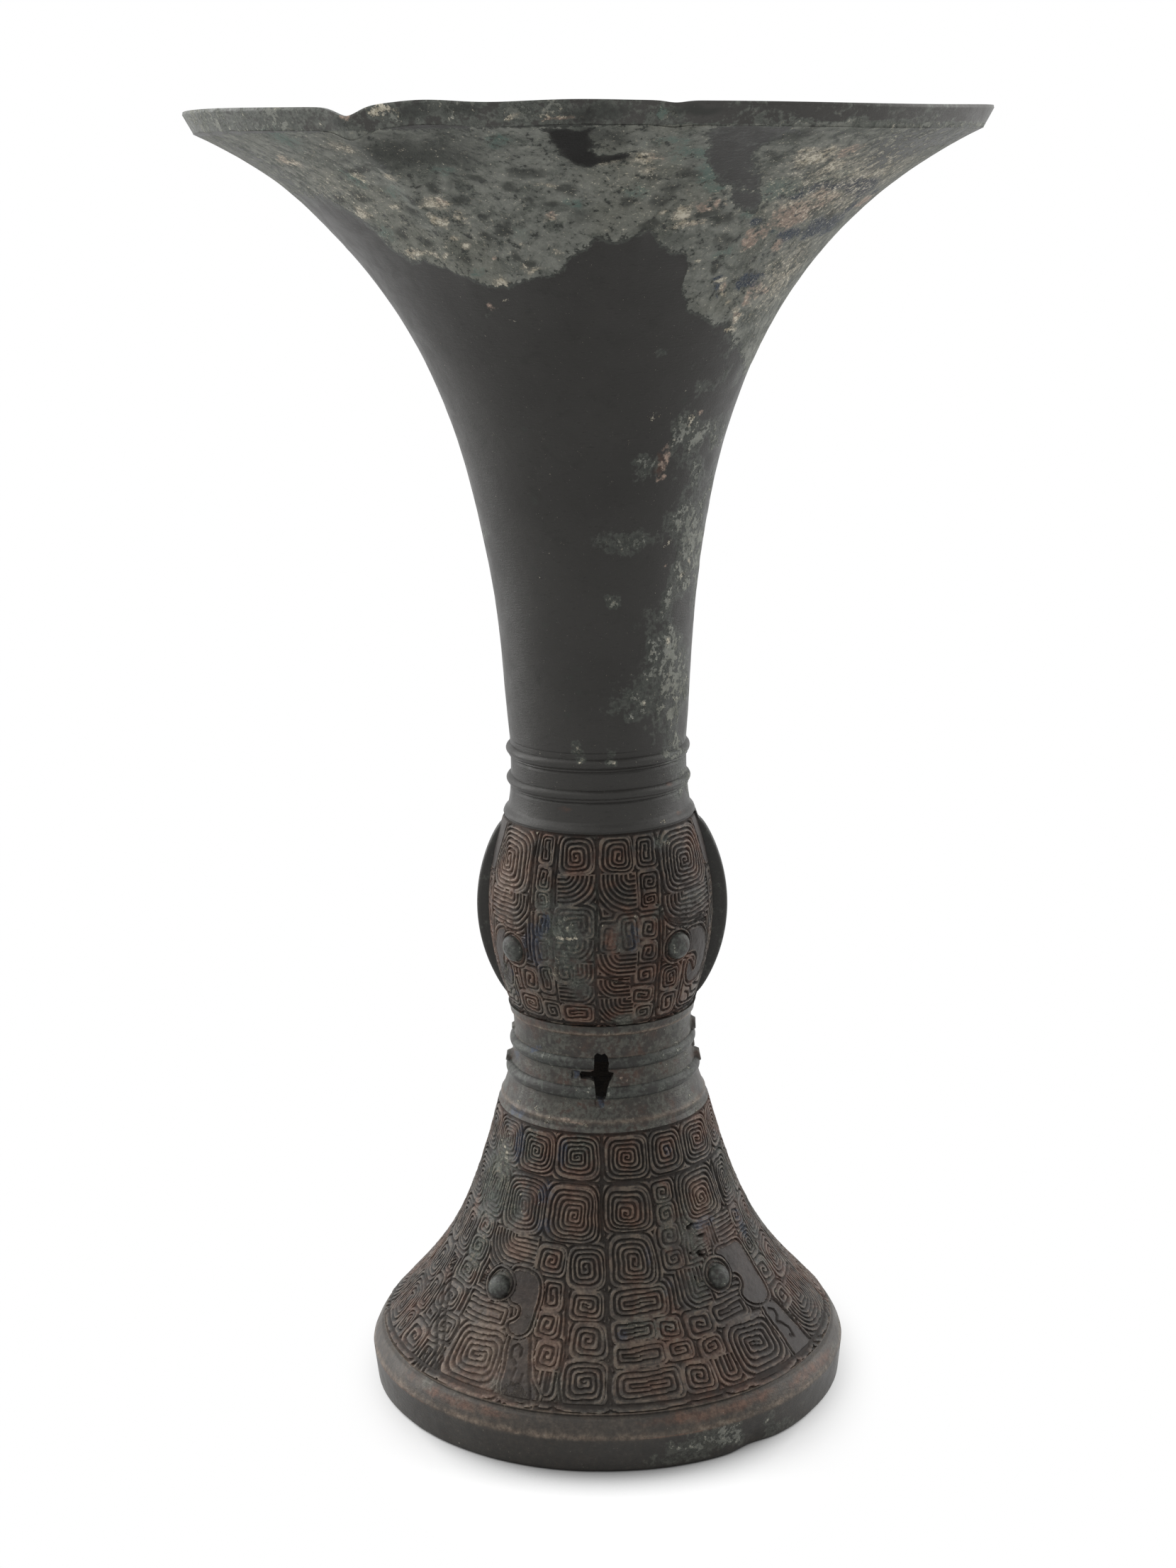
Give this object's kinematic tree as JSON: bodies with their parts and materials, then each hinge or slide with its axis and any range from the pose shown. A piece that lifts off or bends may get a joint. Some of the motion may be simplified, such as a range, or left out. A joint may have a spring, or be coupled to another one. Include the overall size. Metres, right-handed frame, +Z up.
{
  "type": "ritual bronze beaker",
  "caption": "Tall bronze beaker of the gu type with a flared trumpet mouth, a flanged bulb, string ridges, pierced waist and splayed foot with cast mask relief.",
  "frame": {"origin": "on the vessel's axis at the ground", "axes": "+Z up along the axis, -Y towards the decorated front, +X to the right"},
  "size_m": [0.157, 0.157, 0.265],
  "materials": {
    "foot_bronze": "dark satin aged bronze, brown-black, worn on the edge",
    "relief_bronze": "cast relief, red-brown aged bronze with green and dark blue-green patina in the grooves",
    "plain_bronze": "dark grey-brown satin bronze",
    "inner_bronze": "dark dull bronze, unpolished",
    "ridge_bronze": "dark grey-brown satin bronze, brighter on the crest",
    "flange_bronze": "brown satin bronze",
    "trumpet_bronze": "dark grey-brown satin bronze with patches of green malachite and blue azurite patina",
    "lip_bronze": "dark satin bronze with green patina patches",
    "eye_bronze": "smooth brown bronze, worn shiny"
  },
  "bodies": {
    "root": {"foot_rim": "foot_bronze", "foot_panel_front": "relief_bronze", "foot_panel_back": "relief_bronze", "waist_collar": "plain_bronze", "vessel_floor": "inner_bronze", "waist_ridge_upper_left": "ridge_bronze", "waist_ridge_upper_right": "ridge_bronze", "waist_ridge_lower": "ridge_bronze", "bulb_panel_front": "relief_bronze", "bulb_panel_back": "relief_bronze", "bulb_flange_left": "flange_bronze", "bulb_flange_right": "flange_bronze", "neck_collar": "plain_bronze", "neck_ridge_upper": "ridge_bronze", "neck_ridge_lower": "ridge_bronze", "trumpet": "trumpet_bronze", "mouth_lip": "lip_bronze", "foot_eye_front_left": "eye_bronze", "foot_eye_front_right": "eye_bronze", "foot_eye_back_left": "eye_bronze", "foot_eye_back_right": "eye_bronze", "bulb_eye_front_left": "eye_bronze", "bulb_eye_front_right": "eye_bronze", "bulb_eye_back_left": "eye_bronze", "bulb_eye_back_right": "eye_bronze"}
  },
  "joints": []
}
